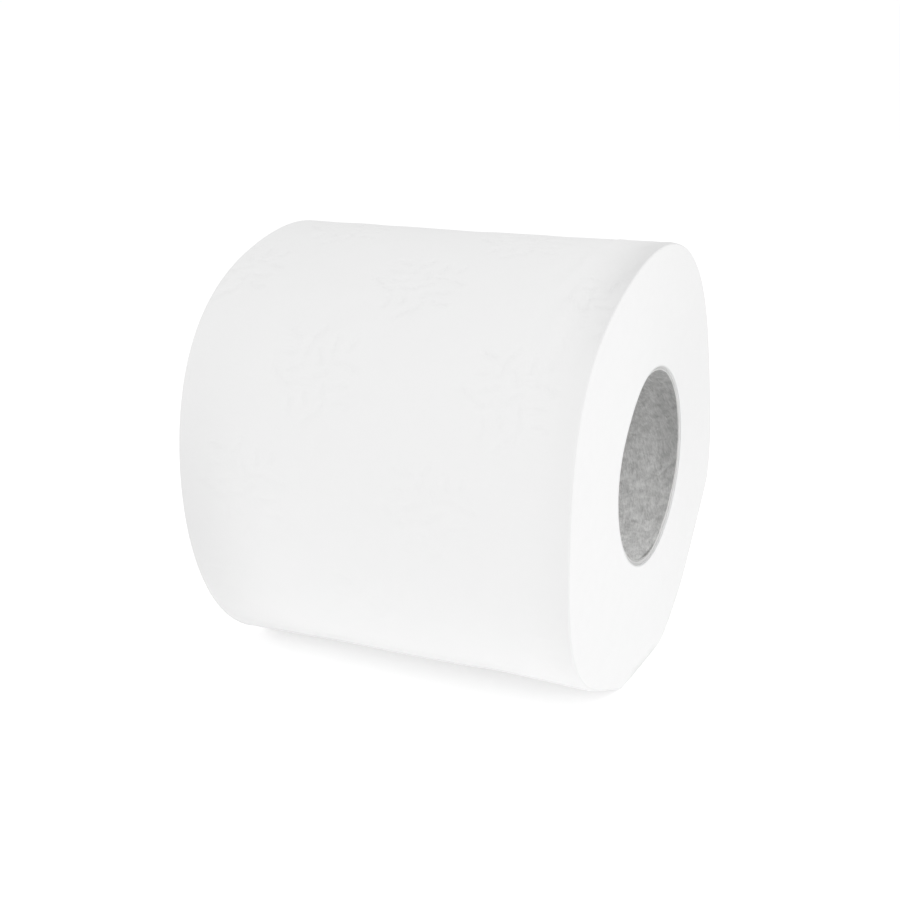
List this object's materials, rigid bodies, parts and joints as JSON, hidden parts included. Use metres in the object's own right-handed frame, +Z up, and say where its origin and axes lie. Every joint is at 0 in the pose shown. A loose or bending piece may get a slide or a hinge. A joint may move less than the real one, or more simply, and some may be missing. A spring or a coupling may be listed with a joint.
{
  "type": "toilet paper roll",
  "caption": "Roll of soft white embossed tissue wound on a grey cardboard core, lying on its side.",
  "frame": {"origin": "middle of the core's bore, on its axis", "axes": "+X along the core's axis; +Z up, away from the flat spot that the roll rests on; +Y across the roll, to the left seen along +X"},
  "size_m": [0.094, 0.1034, 0.0999],
  "materials": {
    "tissue": "soft matte crepe tissue, lightly embossed",
    "core_board": "raw grey recycled board, fibrous and matte"
  },
  "bodies": {
    "root": {"tissue_winding": "tissue", "cardboard_core": "core_board"}
  },
  "joints": []
}
